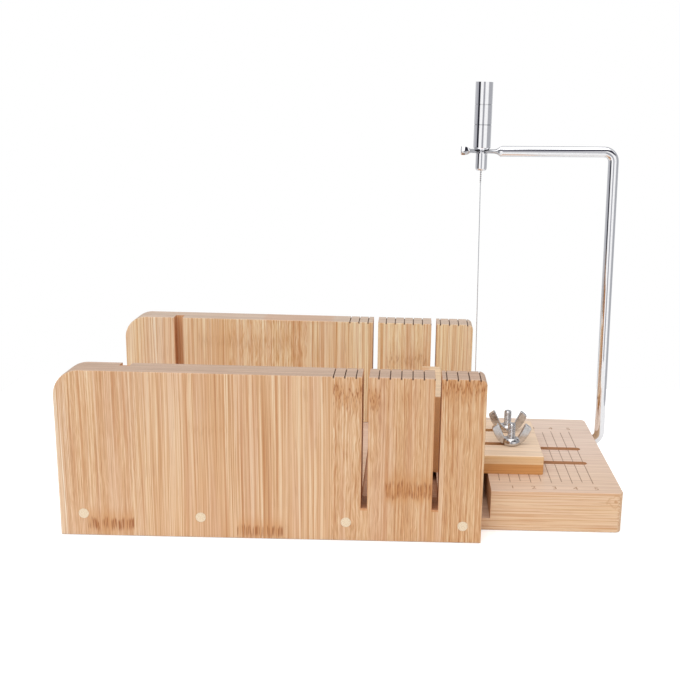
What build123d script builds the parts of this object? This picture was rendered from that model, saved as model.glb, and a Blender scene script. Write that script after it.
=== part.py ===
from build123d import *
import math
import os

os.makedirs("parts", exist_ok=True)

# The soap cutter is laid out from the lower front left corner of the loaf box: X runs along
# the box, Y from the front wall to the rear wall, Z up. Each piece is moved to the row's
# origin, the middle of the footprint, only when it is written.

# Loaf box
board_thickness = 15.0
wall_length = 191.6
wall_height = 78.0
channel_width = 97.5
wall_left_radius = 12.0
wall_right_radius = 3.0
edge_ease = 0.6

# Plank that carries everything; its ledge reaches past the walls
ledge_length = 67.9
plank_thickness = 20.0
plank_corner_radius = 3.0

# Knife slots, sawn across both walls and a little into the plank
knife_slot_width = 2.9
knife_slot_end_margin = 21.6
knife_slot_pitch = 32.3
knife_slot_count = 2
knife_slot_depth_in_plank = 4.0

# Grooves in the walls for a loose end board
end_groove_x = 29.4
end_groove_width = 4.6
end_groove_depth = 5.0

# Scale sawn into the tops of both walls
scale_end_margin = 3.05
scale_pitch = 5.0
scale_count = 14
scale_cut_width = 0.5
scale_cut_depth = 0.8
scale_slot_gap = 0.3

# Slot for the cutting wire, beside the walls' right ends
wire_slot_width = 5.2
wire_slot_floor = 6.0

# Ruler engraved on the plank to the right of the wire slot
ruler_pitch = 5.0
ruler_count = 10
ruler_line_width = 0.35
ruler_line_depth = 0.2
ruler_short_line = 74.5
ruler_long_line = 78.0

# Adjustable stop: an upright glued and dowelled to a slotted foot
stop_centre_offset = 1.75
stop_width = 56.5
stop_reach_into_channel = 28.1
upright_thickness = 10.0
upright_height = 38.8
foot_length = 50.5
foot_thickness = 9.4
foot_dowel_spacing = 36.0
foot_dowel_radius = 2.5
foot_dowel_length = 17.0
foot_dowel_cover = 3.0

# Clamp bolts, in slots through the foot and the plank
bolt_foot_margin = 14.7
bolt_spacing = 21.4
bolt_radius = 1.95
bolt_length = 35.0
bolt_tip_chamfer = 0.5
bolt_head_flats = 7.0
bolt_head_height = 2.8
bolt_channel_depth = 5.5
bolt_side_gap = 0.2
bolt_end_gap = 0.2
ledge_slot_margin = 13.2
foot_slot_margin = 10.8

# Wing nuts
wing_span = 20.6
wing_height = 11.3
wing_tip_width = 4.2
wing_thickness = 2.1
wing_lean = 35.0
wing_elbow_length = 5.0
wing_tip_radius = 0.9
wing_root_height = 0.5
nut_base_radius = 4.4
nut_top_radius = 3.4
nut_height = 5.6

# Cutter arm, bent from one round rod that is flattened to an eye at its free end
rod_radius = 2.75
pivot_wall_gap = 5.5
pivot_depth = 5.5
bend_radius = 5.0
arm_lean = 1.2
rod_end_gap = 0.6
eye_offset = 2.3
eye_z = 172.4
eye_thickness = 2.2
eye_width = 8.4
eye_rim = 3.0
neck_width = 6.4
neck_thickness = 1.8
eye_right_length = 8.1
eye_left_length = 5.5
taper_length = 5.6
flare_length = 2.9
rod_tip_length = 2.5
rod_tip_chamfer = 0.4

# Handle that screws down over the anchor screw
handle_radius = 4.5
handle_length = 33.9
handle_chamfer = 0.7
handle_segment = 10.2
handle_first_segment = 12.4
handle_groove_count = 2
handle_groove_width = 0.4
handle_groove_depth = 0.25

# Anchor screw under the eye, which holds the wire's upper end
anchor_radius = 3.0
anchor_height = 9.0
anchor_round = 1.7
anchor_shank_radius = 2.0
anchor_shank_length = 20.0
anchor_hole_depth = 3.0
thread_end_space = 4.0

# Cutting wire
wire_radius = 0.25
wire_twist_radius = 0.45
wire_twist_length = 6.1
wire_knot_radius = 0.8
wire_knot_height = 1.8
wire_hole_gap = 0.2

# Dowels that join the front wall to the plank, in a row that drops a little to the right
dowel_radius = 2.3
dowel_depth_in_plank = 20.0
dowel_left_margin = 10.7
dowel_right_margin = 8.6
dowel_first_z = 10.6
dowel_last_z = 8.3
dowel_place_shares = (0.0, 0.307, 0.69, 1.0)

# Wood screws from below that hold the three blocks of the rear wall
screw_radius = 1.75
screw_length = 38.0
screw_tip_length = 4.0
screw_head_radius = 3.5
screw_head_height = 2.0
screw_rim = 0.3
screw_sink = 0.5
screw_recess_width = 0.9
screw_recess_length = 3.6
screw_recess_depth = 1.2
screw_place_shares = (0.25, 0.75)

# Clearances
glue_gap = 0.05
running_gap = 0.05
over = 1.0

# Places and travels that follow from the sizes above
plank_length = wall_length + ledge_length
box_length = plank_length + bend_radius + rod_radius
inner_front_y = board_thickness
inner_rear_y = board_thickness + channel_width
box_width = inner_rear_y + board_thickness
wire_slot_right_x = wall_length + wire_slot_width
wire_x = wall_length + wire_slot_width / 2
last_knife_slot_x = wall_length - knife_slot_end_margin
knife_slot_places = [last_knife_slot_x - i * knife_slot_pitch for i in range(knife_slot_count)][::-1]
knife_slot_floor = plank_thickness - knife_slot_depth_in_plank
stop_centre_y = box_width / 2 + stop_centre_offset
upright_left_x = wall_length - stop_reach_into_channel
upright_right_x = upright_left_x + upright_thickness
foot_right_x = upright_right_x + foot_length
foot_top_z = plank_thickness + foot_thickness
bolt_x = foot_right_x - bolt_foot_margin
bolt_places = [stop_centre_y - bolt_spacing / 2, stop_centre_y + bolt_spacing / 2]
bolt_slot_width = 2 * (bolt_radius + bolt_side_gap)
bolt_travel = plank_length - ledge_slot_margin - bolt_x
foot_travel = foot_length - bolt_foot_margin - foot_slot_margin
pivot_y = inner_rear_y - pivot_wall_gap
pivot_z = plank_thickness - pivot_depth
eye_x = wire_x - eye_offset
eye_top_z = eye_z + eye_thickness / 2
eye_under_z = eye_z - eye_thickness / 2
anchor_bottom_z = eye_under_z - anchor_height


def block(x_range, y_range, z_range):
    """A box between two places along each axis."""
    size = [high - low for low, high in (x_range, y_range, z_range)]
    middle = [(high + low) / 2 for low, high in (x_range, y_range, z_range)]
    return Pos(*middle) * Box(*size)


def upright_rod(radius, x, y, z_range):
    """A round bar that stands between two heights."""
    low, high = z_range
    return Pos(x, y, (low + high) / 2) * Cylinder(radius, high - low)


def lying_rod(radius, x_range, y, z):
    """A round bar along X."""
    low, high = x_range
    return Pos((low + high) / 2, y, z) * Rot(0, 90, 0) * Cylinder(radius, high - low)


def long_hole(x_range, y, z_range, width):
    """A slot along X whose round ends are centred on the two places."""
    x_low, x_high = x_range
    z_low, z_high = z_range
    outline = SlotCenterToCenter(x_high - x_low, width)
    return extrude(Pos((x_low + x_high) / 2, y, z_low) * outline, z_high - z_low)


def joined(first, *others):
    """Pieces made into one solid."""
    for other in others:
        first = first + other
    return first.clean()


# Loaf box
def wall_outline(bottom_z):
    """The side view of a wall, with its large left and small right top corners."""
    left_start = wall_height - wall_left_radius
    right_start = wall_length - wall_right_radius
    side = Plane.XZ * Line((0, bottom_z), (0, left_start))
    side += Plane.XZ * RadiusArc((0, left_start), (wall_left_radius, wall_height), wall_left_radius)
    side += Plane.XZ * Line((wall_left_radius, wall_height), (right_start, wall_height))
    side += Plane.XZ * RadiusArc(
        (right_start, wall_height), (wall_length, wall_height - wall_right_radius), wall_right_radius
    )
    side += Plane.XZ * Line((wall_length, wall_height - wall_right_radius), (wall_length, bottom_z))
    side += Plane.XZ * Line((wall_length, bottom_z), (0, bottom_z))
    return make_face(side)


def eased_wall(front_y, bottom_z):
    """A wall board before it is slotted, with its long edges eased."""
    board = Pos(0, front_y, 0) * extrude(wall_outline(bottom_z), board_thickness, (0, 1, 0))
    rims = [edge for edge in board.edges() if edge.bounding_box().size.Y < edge_ease]
    return fillet(rims, min(edge_ease, board_thickness / 4))


def knife_slots(y_range):
    """The saw cuts for the knife across a stretch of the cutter."""
    half = knife_slot_width / 2
    heights = (knife_slot_floor, wall_height + over)
    return [block((x - half, x + half), y_range, heights) for x in knife_slot_places]


def scale_cuts(front_y):
    """Shallow cuts of the scale across one wall's top, left out where a knife slot is."""
    keep_off = knife_slot_width / 2 + scale_slot_gap
    cuts = []
    for i in range(scale_count):
        x = wall_length - scale_end_margin - i * scale_pitch
        if min(abs(x - slot) for slot in knife_slot_places) < keep_off:
            continue
        x_range = (x - scale_cut_width / 2, x + scale_cut_width / 2)
        y_range = (front_y - over, front_y + board_thickness + over)
        cuts.append(block(x_range, y_range, (wall_height - scale_cut_depth, wall_height + over)))
    return cuts


def end_groove(face_y, into_wall):
    """The groove for the loose end board; into_wall is the direction from the channel, -1 or 1."""
    half = end_groove_width / 2
    depth = sorted((face_y - into_wall * over, face_y + into_wall * end_groove_depth))
    heights = (plank_thickness, wall_height + over)
    return block((end_groove_x - half, end_groove_x + half), depth, heights)


def dowel_places():
    """Where the dowels stand along the front wall, as pairs of X and Z."""
    run = wall_length - dowel_right_margin - dowel_left_margin
    rise = dowel_last_z - dowel_first_z
    return [(dowel_left_margin + share * run, dowel_first_z + share * rise) for share in dowel_place_shares]


def dowel(x, z, radius):
    """One dowel through the front wall and into the plank."""
    length = board_thickness + dowel_depth_in_plank
    return Pos(x, length / 2, z) * Rot(90, 0, 0) * Cylinder(radius, length)


def dowel_holes():
    return [dowel(x, z, dowel_radius + glue_gap) for x, z in dowel_places()]


def front_wall():
    wall = eased_wall(0, 0)
    wall -= knife_slots((-over, inner_front_y + over))
    wall -= scale_cuts(0)
    wall -= end_groove(inner_front_y, -1)
    wall -= dowel_holes()
    return wall


def front_wall_dowels():
    return Compound([dowel(x, z, dowel_radius) for x, z in dowel_places()])


def rear_blocks():
    """The X ranges of the three blocks that the knife slots leave of the rear wall."""
    half = knife_slot_width / 2
    starts = [0] + [x + half for x in knife_slot_places]
    ends = [x - half for x in knife_slot_places] + [wall_length]
    return list(zip(starts, ends))


def screw_places(block_range):
    low, high = block_range
    return [low + share * (high - low) for share in screw_place_shares]


def rear_wall_block(block_range):
    """One block of the rear wall, which stands on the plank."""
    heights = (plank_thickness, wall_height)
    wall = eased_wall(inner_rear_y, plank_thickness)
    wall = wall & block(block_range, (inner_rear_y, box_width), heights)
    wall -= scale_cuts(inner_rear_y)
    if block_range[0] < end_groove_x < block_range[1]:
        wall -= end_groove(inner_rear_y, 1)
    wall -= screw_holes(block_range)
    return wall


def screw_shape(x, foot_z, gap):
    """A countersunk screw that points up, from a foot height and larger by a gap all round."""
    head = screw_head_radius + gap
    shank = screw_radius + gap
    rim_z = screw_sink + screw_rim
    tip_z = screw_sink + screw_length + gap
    points = [
        (0, foot_z), (head, foot_z), (head, rim_z), (shank, rim_z + screw_head_height),
        (shank, tip_z - screw_tip_length), (0, tip_z),
    ]
    outline = make_face(Plane.XZ * Polyline(*points, close=True))
    return Pos(x, box_width - board_thickness / 2, 0) * revolve(outline, Axis.Z)


def screw_holes(block_range):
    return [screw_shape(x, -over, glue_gap) for x in screw_places(block_range)]


def rear_wall_screws():
    y = box_width - board_thickness / 2
    half_width = screw_recess_width / 2
    half_length = screw_recess_length / 2
    depth = (screw_sink - over, screw_sink + screw_recess_depth)
    screws = []
    for block_range in rear_blocks():
        for x in screw_places(block_range):
            screw = screw_shape(x, screw_sink, 0)
            screw -= block((x - half_length, x + half_length), (y - half_width, y + half_width), depth)
            screw -= block((x - half_width, x + half_width), (y - half_length, y + half_length), depth)
            screws.append(screw.solid())
    return Compound(screws)


# Plank
def ruler_cuts():
    """The engraved lines; every second one is longer, where a number stands."""
    cuts = []
    for i in range(ruler_count):
        x = wire_slot_right_x + (i + 1) * ruler_pitch
        half_line = (ruler_long_line if i % 2 else ruler_short_line) / 2
        x_range = (x - ruler_line_width / 2, x + ruler_line_width / 2)
        y_range = (stop_centre_y - half_line, stop_centre_y + half_line)
        z_range = (plank_thickness - ruler_line_depth, plank_thickness + over)
        cuts.append(block(x_range, y_range, z_range))
    return cuts


def bolt_slots():
    """The bolts' slots through the plank, with the channels that keep their heads from turning."""
    centres = (bolt_x - bolt_end_gap, bolt_x + bolt_travel + bolt_end_gap)
    head_width = bolt_head_flats + 2 * bolt_side_gap
    head_reach = bolt_head_flats / math.sqrt(3) + bolt_end_gap
    head_range = (bolt_x - head_reach, bolt_x + bolt_travel + head_reach)
    cuts = []
    for y in bolt_places:
        cuts.append(long_hole(centres, y, (-over, plank_thickness + over), bolt_slot_width))
        y_range = (y - head_width / 2, y + head_width / 2)
        cuts.append(block(head_range, y_range, (-over, bolt_channel_depth)))
    return cuts


def base_plank():
    y_all = (inner_front_y - over, box_width + over)
    plank = block((0, plank_length), (inner_front_y, box_width), (0, plank_thickness))
    corners = plank.edges().filter_by(Axis.Z).group_by(Axis.X)[-1]
    plank = fillet(corners, min(plank_corner_radius, channel_width / 4))
    faces = plank.faces().filter_by(Plane.XY)
    plank = fillet(faces.edges(), min(edge_ease, plank_thickness / 4))
    plank -= knife_slots(y_all)
    plank -= block((wall_length, wire_slot_right_x), y_all, (wire_slot_floor, plank_thickness + over))
    bore_range = (wire_x, plank_length + over)
    plank -= lying_rod(rod_radius + running_gap, bore_range, pivot_y, pivot_z)
    plank -= bolt_slots()
    plank -= ruler_cuts()
    plank -= dowel_holes()
    for block_range in rear_blocks():
        plank -= screw_holes(block_range)
    return plank


# Adjustable stop
def stop_y_range():
    return (stop_centre_y - stop_width / 2, stop_centre_y + stop_width / 2)


def foot_dowel(side, gap):
    """A dowel between upright and foot; side is -1 in front and 1 behind."""
    start = upright_left_x + foot_dowel_cover - gap
    x_range = (start, start + foot_dowel_length + 2 * gap)
    y = stop_centre_y + side * foot_dowel_spacing / 2
    return lying_rod(foot_dowel_radius + gap, x_range, y, plank_thickness + foot_thickness / 2)


def stop_upright():
    heights = (plank_thickness, plank_thickness + upright_height)
    board = block((upright_left_x, upright_right_x), stop_y_range(), heights)
    left = board.faces().sort_by(Axis.X)[0]
    top = board.faces().sort_by(Axis.Z)[-1]
    board = fillet(left.edges() + top.edges(), min(edge_ease, upright_thickness / 4))
    board -= [foot_dowel(side, glue_gap) for side in (-1, 1)]
    return board


def stop_foot():
    heights = (plank_thickness, foot_top_z)
    board = block((upright_right_x, foot_right_x), stop_y_range(), heights)
    right = board.faces().sort_by(Axis.X)[-1]
    top = board.faces().sort_by(Axis.Z)[-1]
    seam = board.faces().sort_by(Axis.X)[0].edges()
    rims = [edge for edge in right.edges() + top.edges() if edge not in seam]
    board = fillet(rims, min(edge_ease, foot_thickness / 4))
    centres = (bolt_x - foot_travel - bolt_end_gap, bolt_x + bolt_end_gap)
    through = (plank_thickness - over, foot_top_z + over)
    board -= [long_hole(centres, y, through, bolt_slot_width) for y in bolt_places]
    board -= [foot_dowel(side, glue_gap) for side in (-1, 1)]
    return board


def stop_dowels():
    return Compound([foot_dowel(side, 0) for side in (-1, 1)])


# Clamp bolts and wing nuts
def clamp_bolt(y):
    seat_z = bolt_channel_depth
    head = extrude(RegularPolygon(bolt_head_flats / 2, 6, major_radius=False), bolt_head_height)
    head = Pos(bolt_x, y, seat_z - bolt_head_height) * head
    shank = upright_rod(bolt_radius, bolt_x, y, (seat_z, seat_z + bolt_length))
    tip = shank.edges().sort_by(Axis.Z)[-1]
    return joined(chamfer(tip, min(bolt_tip_chamfer, bolt_radius / 2)), head)


def wing_outline():
    """One wing in side view: it rises from the nut's foot and ends in a leaning square tip."""
    lean = math.radians(wing_lean)
    along = (math.sin(lean), math.cos(lean))
    tip_outer = (wing_span / 2, wing_height - wing_tip_width * along[0])
    tip_inner = (wing_span / 2 - wing_tip_width * along[1], wing_height)
    elbow = (tip_outer[0] - wing_elbow_length * along[0], tip_outer[1] - wing_elbow_length * along[1])
    root = (nut_base_radius, wing_root_height)
    points = [(0, wing_root_height), root, elbow, tip_outer, tip_inner, (nut_top_radius, nut_height)]
    points.append((0, nut_height))
    outline = make_face(Plane.XZ * Polyline(*points, close=True))
    tips = [v for v in outline.vertices() if v.Z > elbow[1] + over and v.X > nut_base_radius]
    return fillet(tips, min(wing_tip_radius, wing_tip_width / 3))


def wing_nut(y):
    nut = Pos(0, 0, nut_height / 2) * Cone(nut_base_radius, nut_top_radius, nut_height)
    wing = Pos(0, -wing_thickness / 2, 0) * extrude(wing_outline(), wing_thickness, (0, 1, 0))
    nut = joined(nut, wing, Rot(0, 0, 180) * wing)
    nut -= upright_rod(bolt_radius + running_gap, 0, 0, (-over, nut_height + over))
    return Pos(bolt_x, y, foot_top_z) * nut


# Cutter arm
def arm_corners():
    """Where the straight stretches of the arm would meet, in the arm's own upright plane."""
    lean = math.radians(arm_lean)
    cos, sin = math.cos(lean), math.sin(lean)
    low = (plank_length + bend_radius * math.tan(math.pi / 4 + lean / 2), pivot_z)
    reach = (low[0] - eye_x) * cos + (low[1] - eye_z) * sin
    high = (eye_x + reach * cos, eye_z + reach * sin)
    taper = eye_right_length + taper_length
    end = (eye_x + taper * cos, eye_z + taper * sin)
    return low, high, end


def eye_section(x, half_width, half_height):
    """An oval section of the rod square to X."""
    across = Plane(origin=(x, pivot_y, eye_z), x_dir=(0, 1, 0), z_dir=(1, 0, 0))
    return across * Ellipse(half_width, half_height)


def cutter_arm():
    low, high, end = arm_corners()
    start = (wall_length + rod_end_gap, pivot_z)
    places = [Vector(x, pivot_y, z) for x, z in (start, low, high, end)]
    path = FilletPolyline(*places, radius=bend_radius)
    rod = sweep(Plane(origin=places[0], z_dir=(1, 0, 0)) * Circle(rod_radius), path)

    flat_left = eye_x - eye_left_length
    flat_right = eye_x + eye_right_length
    half_width = eye_width / 2
    rod_end = Plane(origin=places[-1], x_dir=(0, 1, 0), z_dir=places[-1] - places[-2])
    taper = loft([rod_end * Circle(rod_radius), eye_section(flat_right, half_width, eye_rim / 2)])

    pressed = extrude(eye_section(flat_left, half_width, eye_rim / 2), flat_right - flat_left)
    slab = block(
        (flat_left, flat_right), (pivot_y - half_width, pivot_y + half_width), (eye_under_z, eye_top_z)
    )
    flare_end = flat_left - flare_length
    neck = eye_section(flat_left, neck_width / 2, neck_thickness / 2)
    flare = loft([neck, eye_section(flare_end, rod_radius, rod_radius)])
    tip = lying_rod(rod_radius, (flare_end - rod_tip_length, flare_end), pivot_y, eye_z)
    tip = chamfer(tip.edges().sort_by(Axis.X)[0], min(rod_tip_chamfer, rod_radius / 3))

    arm = joined(rod, taper, pressed & slab, flare, tip)
    arm -= upright_rod(anchor_shank_radius + glue_gap, eye_x, pivot_y, (eye_z - eye_rim, eye_z + eye_rim))
    arm -= wire_run(wire_radius + wire_hole_gap, pivot_z + 2 * rod_radius)
    return arm


# Wire, anchor screw and handle
def wire_run(radius, top_z):
    """The straight wire, or its hole, from below the rod's inner end up to a height."""
    bottom = Vector(wire_x, pivot_y, pivot_z - rod_radius - wire_knot_height)
    twist_end = Vector(eye_x, pivot_y, anchor_bottom_z - wire_twist_length)
    share = (top_z - bottom.Z) / (twist_end.Z - bottom.Z)
    top = bottom + (twist_end - bottom) * share
    return sweep(Plane(origin=bottom, z_dir=top - bottom) * Circle(radius), Line(bottom, top))


def cutting_wire():
    knot_top = pivot_z - rod_radius - glue_gap
    knot = upright_rod(wire_knot_radius, wire_x, pivot_y, (knot_top - wire_knot_height, knot_top))
    twist_top = anchor_bottom_z + anchor_hole_depth - glue_gap
    twist_bottom = anchor_bottom_z - wire_twist_length
    twist = upright_rod(wire_twist_radius, eye_x, pivot_y, (twist_bottom, twist_top))
    return joined(wire_run(wire_radius, twist_bottom + wire_radius), twist, knot)


def anchor_screw():
    head = upright_rod(anchor_radius, eye_x, pivot_y, (anchor_bottom_z, eye_under_z))
    head = fillet(head.edges().sort_by(Axis.Z)[0], min(anchor_round, anchor_radius / 2))
    shank_range = (eye_under_z, eye_under_z + anchor_shank_length)
    screw = joined(head, upright_rod(anchor_shank_radius, eye_x, pivot_y, shank_range))
    hole_range = (anchor_bottom_z - over, anchor_bottom_z + anchor_hole_depth)
    screw -= upright_rod(wire_twist_radius + glue_gap, eye_x, pivot_y, hole_range)
    return screw


def handle_grip():
    top_z = eye_top_z + handle_length
    grip = upright_rod(handle_radius, eye_x, pivot_y, (eye_top_z, top_z))
    grip = chamfer(grip.edges().sort_by(Axis.Z)[0], min(handle_chamfer, handle_radius / 4))
    bore_top = eye_under_z + anchor_shank_length + thread_end_space
    grip -= upright_rod(anchor_shank_radius + running_gap, eye_x, pivot_y, (eye_top_z - over, bore_top))
    for i in range(handle_groove_count):
        z = eye_top_z + handle_first_segment + i * handle_segment
        z_range = (z - handle_groove_width / 2, z + handle_groove_width / 2)
        ring = upright_rod(handle_radius + over, eye_x, pivot_y, z_range)
        ring -= upright_rod(handle_radius - handle_groove_depth, eye_x, pivot_y, z_range)
        grip -= ring
    return grip


# All pieces, each written under its own name
left_block, middle_block, right_block = [rear_wall_block(block_range) for block_range in rear_blocks()]
front_bolt, rear_bolt = [clamp_bolt(y) for y in bolt_places]
front_nut, rear_nut = [wing_nut(y) for y in bolt_places]
pieces = {
    "base_plank": base_plank(),
    "front_wall": front_wall(),
    "front_wall_dowels": front_wall_dowels(),
    "rear_wall_left": left_block,
    "rear_wall_middle": middle_block,
    "rear_wall_right": right_block,
    "rear_wall_screws": rear_wall_screws(),
    "stop_upright": stop_upright(),
    "stop_foot": stop_foot(),
    "stop_dowels": stop_dowels(),
    "front_clamp_bolt": front_bolt,
    "rear_clamp_bolt": rear_bolt,
    "front_wing_nut": front_nut,
    "rear_wing_nut": rear_nut,
    "cutter_arm": cutter_arm(),
    "anchor_screw": anchor_screw(),
    "handle_grip": handle_grip(),
    "cutting_wire": cutting_wire(),
}

to_origin = Pos(-box_length / 2, -box_width / 2, 0)
for name, piece in pieces.items():
    placed = to_origin * piece
    export_step(placed, f"parts/{name}.step")
    size = placed.bounding_box().size
    print(f"{name}: {len(placed.solids())} solids, {size.X:.2f} x {size.Y:.2f} x {size.Z:.2f} mm")
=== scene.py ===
import math

import bmesh
import bpy
from mathutils import Matrix, Vector


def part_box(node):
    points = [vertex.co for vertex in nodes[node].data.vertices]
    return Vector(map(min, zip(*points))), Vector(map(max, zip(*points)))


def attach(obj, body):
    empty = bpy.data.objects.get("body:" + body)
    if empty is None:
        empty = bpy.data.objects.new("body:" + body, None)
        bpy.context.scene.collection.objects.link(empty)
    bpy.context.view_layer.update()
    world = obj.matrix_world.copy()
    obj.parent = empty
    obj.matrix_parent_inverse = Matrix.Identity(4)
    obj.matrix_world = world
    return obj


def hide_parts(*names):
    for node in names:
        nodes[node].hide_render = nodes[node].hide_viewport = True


# Looks of the soap cutter. The boards keep their CAD shape and get bamboo here; the bolts,
# wing nuts, bent arm and wire are made again with threads, forged edges and a real twist.

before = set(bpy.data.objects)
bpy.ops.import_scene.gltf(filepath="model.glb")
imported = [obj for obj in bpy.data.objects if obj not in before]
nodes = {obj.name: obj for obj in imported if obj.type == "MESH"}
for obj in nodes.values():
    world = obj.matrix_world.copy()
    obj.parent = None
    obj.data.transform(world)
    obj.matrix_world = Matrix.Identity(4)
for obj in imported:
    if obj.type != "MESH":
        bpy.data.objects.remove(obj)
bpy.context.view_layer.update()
mm = 0.001
# from the box's lower front left corner, in mm, to the row's origin
boxShift = Vector((-133.625, -63.75, 0.0))
white = (1.0, 1.0, 1.0)
print("frame:", len(nodes), "CAD nodes")


# helpers for node trees, where a value is a number, a colour, a vector or another node's output
def plug(tree, socket, value):
    if isinstance(value, bpy.types.NodeSocket):
        tree.links.new(value, socket)
    else:
        socket.default_value = (*value, 1.0) if socket.type == "RGBA" else value


def addNode(tree, kind, inputs=None, **settings):
    node = tree.nodes.new(kind)
    for name, value in settings.items():
        setattr(node, name, value)
    for name, value in (inputs or {}).items():
        plug(tree, node.inputs[name], value)
    return node


def calc(tree, operation, *values):
    return addNode(tree, "ShaderNodeMath", dict(enumerate(values)), operation=operation).outputs[0]


def vectorCalc(tree, operation, *values):
    return addNode(tree, "ShaderNodeVectorMath", dict(enumerate(values)), operation=operation).outputs[0]


def separate(tree, vector):
    return addNode(tree, "ShaderNodeSeparateXYZ", {"Vector": vector}).outputs


def combine(tree, x=0.0, y=0.0, z=0.0):
    return addNode(tree, "ShaderNodeCombineXYZ", {"X": x, "Y": y, "Z": z}).outputs[0]


def blendColour(tree, factor, first, second, mode="MIX"):
    node = addNode(tree, "ShaderNodeMix", data_type="RGBA", blend_type=mode)
    for i, value in ((0, factor), (6, first), (7, second)):
        plug(tree, node.inputs[i], value)
    return node.outputs[2]


def tinted(tree, colour, mask, share, tintColour):
    return blendColour(tree, calc(tree, "MULTIPLY", mask, share), colour, tintColour)


def spread(tree, value, fromLow, fromHigh, toLow=0.0, toHigh=1.0):
    node = addNode(tree, "ShaderNodeMapRange", interpolation_type="SMOOTHSTEP")
    for i, v in enumerate((value, fromLow, fromHigh, toLow, toHigh)):
        plug(tree, node.inputs[i], v)
    return node.outputs[0]


def between(tree, value, rise, fall):
    # up to 1 over the first pair of values, and back to 0 over the second, which is given backwards
    return calc(tree, "MULTIPLY", spread(tree, value, *rise), spread(tree, value, *fall))


def inBand(tree, value, low, high, soft):
    return between(tree, value, (low - soft, low + soft), (high + soft, high - soft))


def swing(tree, value, amount, middle):
    # moves a value that lies round 0.5 to lie round the middle, this much stronger
    return calc(tree, "MULTIPLY_ADD", calc(tree, "SUBTRACT", value, 0.5), amount, middle)


def noise(tree, vector, stretch, detail=2.0, roughness=0.5):
    return addNode(tree, "ShaderNodeTexNoise", {
        "Vector": vectorCalc(tree, "MULTIPLY", vector, stretch), "Scale": 1.0, "Detail": detail,
        "Roughness": roughness}).outputs["Fac"]


def newGroup(name, inputs, outputs):
    group = bpy.data.node_groups.new(name, "ShaderNodeTree")
    for way, sockets in (("INPUT", inputs), ("OUTPUT", outputs)):
        for label, kind in sockets:
            group.interface.new_socket(label, in_out=way, socket_type="NodeSocket" + kind)
    given = group.nodes.new("NodeGroupInput").outputs
    result = group.nodes.new("NodeGroupOutput").inputs
    return group, given, result


def useGroup(tree, group, *values):
    return addNode(tree, "ShaderNodeGroup", dict(enumerate(values)), node_tree=group).outputs


grainLook = {
    # in mm: a ply, how far apart the strips' stretches of bamboo lie, how far fibres bend and sway
    "ply": 5.0, "plyShift": 2.5, "strayed": (90.0, 90.0, 400.0), "bendBy": 3.0, "swayBy": 4.2,
    # each noise: stretch across the strip, into the board and along the fibres, detail, roughness
    "bend": ((0.04, 0.04, 0.008), 1.0), "coarse": ((0.2, 0.2, 0.005), 2.0),
    "lines": ((1.5, 1.5, 0.006), 1.0), "fine": ((2.7, 2.7, 0.014), 2.0, 0.6),
    "dashes": ((2.6, 2.6, 0.09), 0.0), "threads": ((0.62, 0.62, 0.003), 2.0, 0.6),
    "sway": ((0.2, 0.2, 0.06), 2.0), "strokes": ((1.9, 1.9, 0.11), 2.0, 0.6),
    "blush": ((0.16, 0.16, 0.012), 1.0),
    # how strongly each one changes the tone; calm is what a swaying figure leaves of the rest
    "coarseShare": 0.24, "linesShare": 0.62, "fineShare": 1.15, "stripShare": 0.12,
    "calm": 0.5, "strokesShare": 1.35,
    # the levels between which flecks, thin dark seams and the blush set in
    "fleckLevels": (0.62, 0.74), "seamLevels": (0.045, 0.008), "blushLevels": (0.42, 0.68),
    # how strongly each one lifts the surface
    "fineLift": 0.5, "linesLift": 0.6, "fleckLift": -0.35,
}


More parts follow.
